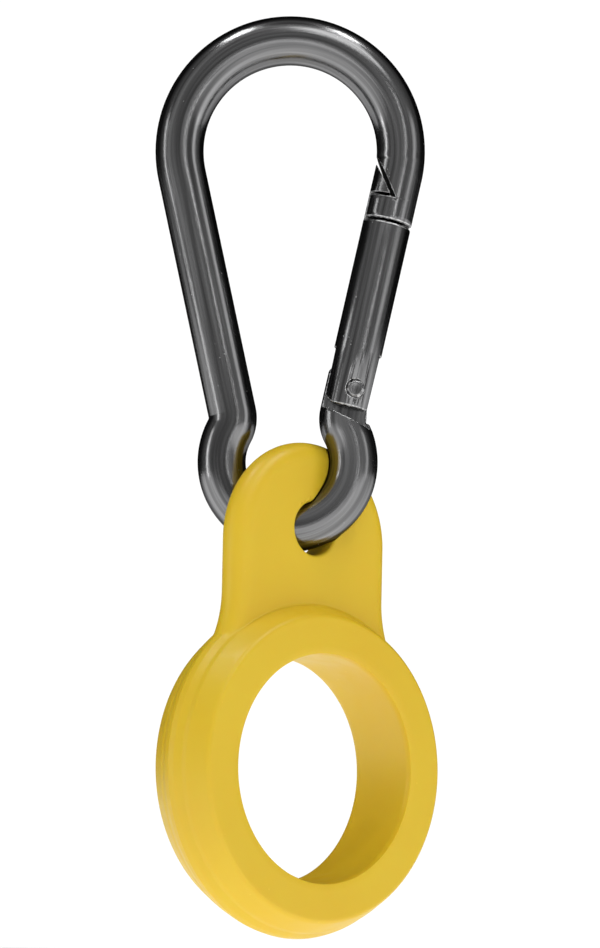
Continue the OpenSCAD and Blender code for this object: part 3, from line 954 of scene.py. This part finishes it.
class CARRIER_OT_gate(bpy.types.Operator):
    """Make the gate: fork, bored bar, neck and wedge head"""

    bl_idname = PREFIX + ".gate"
    bl_label = "Gate"

    def execute(self, context):
        looks = context.scene.carrier_looks
        piece = build_gate(context.scene.carrier_hook, context.scene.carrier_gate)
        steel = metal_material(
            "plated gate steel", looks.plating, looks.bright, shared_groups(), roughness=(0.12, 0.26))
        dress(piece, steel, "gate", "gate")
        return {"FINISHED"}


class CARRIER_OT_rivet(bpy.types.Operator):
    """Make the pivot rivet with its pressed ends"""

    bl_idname = PREFIX + ".rivet"
    bl_label = "Rivet"

    def execute(self, context):
        looks = context.scene.carrier_looks
        piece = build_rivet(context.scene.carrier_hook, context.scene.carrier_gate)
        steel = metal_material(
            "plated rivet steel", looks.plating, looks.bright, shared_groups(),
            roughness=(0.2, 0.34), fineness=5.0)
        dress(piece, steel, "gate", "pivot_rivet")
        return {"FINISHED"}


class CARRIER_OT_spring(bpy.types.Operator):
    """Make the plunger and the spring that push the gate shut"""

    bl_idname = PREFIX + ".spring"
    bl_label = "Spring and plunger"

    def execute(self, context):
        looks = context.scene.carrier_looks
        g = context.scene.carrier_gate
        steel = metal_material(
            "bare spring steel", looks.spring, looks.bright, shared_groups(),
            roughness=(0.22, 0.36), wear_and_highlight=0.2)
        dress(build_plunger(g), steel, "plunger", "spring_plunger")
        spring = dress(build_spring(g), steel, "gate", "gate_spring")
        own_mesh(spring)
        return {"FINISHED"}


class CARRIER_OT_holder(bpy.types.Operator):
    """Make the silicone ring and tab"""

    bl_idname = PREFIX + ".holder"
    bl_label = "Bottle holder"

    def execute(self, context):
        piece = build_holder(context.scene.carrier_holder)
        dress(piece, silicone_material(context.scene.carrier_looks), "holder", "bottle_holder")
        return {"FINISHED"}


def panel_light(name, place, target, size, power):
    """A rectangular soft light at a place, facing a target, with sizes in metres."""
    light = bpy.data.lights.new(name, "AREA")
    light.shape = "RECTANGLE"
    light.size, light.size_y = size
    light.energy = power
    lamp = bpy.data.objects.new(name, light)
    lamp.location = place
    lamp.rotation_euler = (Vector(target) - Vector(place)).to_track_quat("-Z", "Y").to_euler()
    bpy.context.scene.collection.objects.link(lamp)


# Name, place and size in metres, power in watts.
LIGHTS = (
    ("left", (-0.72, -0.21, -0.02), (0.10, 0.7), 0.80),
    ("thin right", (0.32, -0.68, -0.02), (0.03, 0.7), 0.30),
    ("right", (0.70, -0.25, -0.02), (0.22, 0.7), 0.50),
    ("overhead left", (-0.19, -0.10, 0.50), (0.10, 0.10), 0.60),
    ("overhead right", (0.19, -0.10, 0.50), (0.10, 0.10), 0.60),
    ("high front", (0.20, -0.45, 0.55), (0.40, 0.30), 1.0),
)


class CARRIER_OT_stage(bpy.types.Operator):
    """Make the floor, the soft lights, the surroundings and the camera"""

    bl_idname = PREFIX + ".stage"
    bl_label = "Stage"

    def execute(self, context):
        scene = context.scene
        looks = scene.carrier_looks
        low = float(HOLDER_BOX[0, 2]) * MM
        middle = Vector((0.0014, 0.0, -0.0458))
        mesh = bpy.data.meshes.new("floor")
        reach = 1.6
        mesh.from_pydata([
            (-reach, -reach, low), (reach, -reach, low), (reach, reach, low), (-reach, reach, low)],
            [], [(0, 1, 2, 3)])
        room_below = 0.0095
        mesh.transform(Matrix.Translation((0, 0, -room_below)))
        floor = bpy.data.objects.new("floor", mesh)
        scene.collection.objects.link(floor)
        material, tree, shader = new_material("floor")
        shader.inputs["Base Color"].default_value = (*looks.floor, 1)
        shader.inputs["Roughness"].default_value = 0.9
        shader.inputs["Emission Color"].default_value = (1, 1, 1, 1)
        shader.inputs["Emission Strength"].default_value = 0.7
        floor.data.materials.append(material)

        world = bpy.data.worlds.new("studio")
        scene.world = world
        world.use_nodes = True
        tree = world.node_tree
        back = tree.nodes["Background"]
        around = node(tree, "ShaderNodeTexCoord").outputs["Generated"]
        way = node(tree, "ShaderNodeSeparateXYZ", [(0, around)])
        tree.links.new(span(tree, way.outputs["Y"], -0.6, 0.4, 0.38, 0.02), back.inputs["Color"])
        white = node(tree, "ShaderNodeBackground", [("Color", (1, 1, 1, 1)), ("Strength", 1.05)])
        seen = node(tree, "ShaderNodeLightPath")
        both = node(tree, "ShaderNodeMixShader", [
            (0, seen.outputs["Is Camera Ray"]), (1, back.outputs[0]), (2, white.outputs[0])])
        tree.links.new(both.outputs[0], tree.nodes["World Output"].inputs["Surface"])

        for name, place, size, power in LIGHTS:
            panel_light(name, place, middle, size, power)

        camera = bpy.data.cameras.new("camera")
        camera.lens = looks.focal
        camera.sensor_width = 36.0
        camera.clip_start = 0.01
        shown_height = 0.1062
        distance = looks.focal * shown_height / camera.sensor_width
        eye = bpy.data.objects.new("camera", camera)
        scene.collection.objects.link(eye)
        camera.shift_y = looks.camera_drop * MM / shown_height
        below = Matrix.Rotation(looks.roll, 3, "Y") @ Vector((0, 0, -looks.camera_drop * MM))
        eye.location = middle + Vector((0, -distance, 0)) + below
        eye.rotation_euler = (math.pi / 2, looks.roll, 0)
        scene.camera = eye
        scene.view_settings.view_transform = "Standard"
        return {"FINISHED"}


class CARRIER_PT_panel(bpy.types.Panel):
    """Lists the carrier's pieces, each with its button"""

    bl_idname = "CARRIER_PT_panel"
    bl_label = "Bottle carrier"
    bl_space_type = "VIEW_3D"
    bl_region_type = "UI"
    bl_category = "Carrier"

    def draw(self, context):
        for operator in OPERATORS:
            self.layout.operator(operator.bl_idname)


SETTINGS = {
    "carrier_hook": CarrierHookSizes,
    "carrier_gate": CarrierGateSizes,
    "carrier_holder": CarrierHolderSizes,
    "carrier_looks": CarrierLooks,
}
OPERATORS = (
    CARRIER_OT_hook_body,
    CARRIER_OT_gate,
    CARRIER_OT_rivet,
    CARRIER_OT_spring,
    CARRIER_OT_holder,
    CARRIER_OT_stage,
)


def register():
    """Registers the settings, operators and panel."""
    for name, settings in SETTINGS.items():
        bpy.utils.register_class(settings)
        setattr(bpy.types.Scene, name, PointerProperty(type=settings))
    for cls in (*OPERATORS, CARRIER_PT_panel):
        bpy.utils.register_class(cls)


def unregister():
    """Removes them again."""
    for cls in (CARRIER_PT_panel, *reversed(OPERATORS)):
        bpy.utils.unregister_class(cls)
    for name, settings in reversed(SETTINGS.items()):
        delattr(bpy.types.Scene, name)
        bpy.utils.unregister_class(settings)


def main():
    """Makes every piece in order."""
    register()
    for operator in OPERATORS:
        group, name = operator.bl_idname.split(".")
        getattr(getattr(bpy.ops, group), name)()


if __name__ == "__main__":
    main()
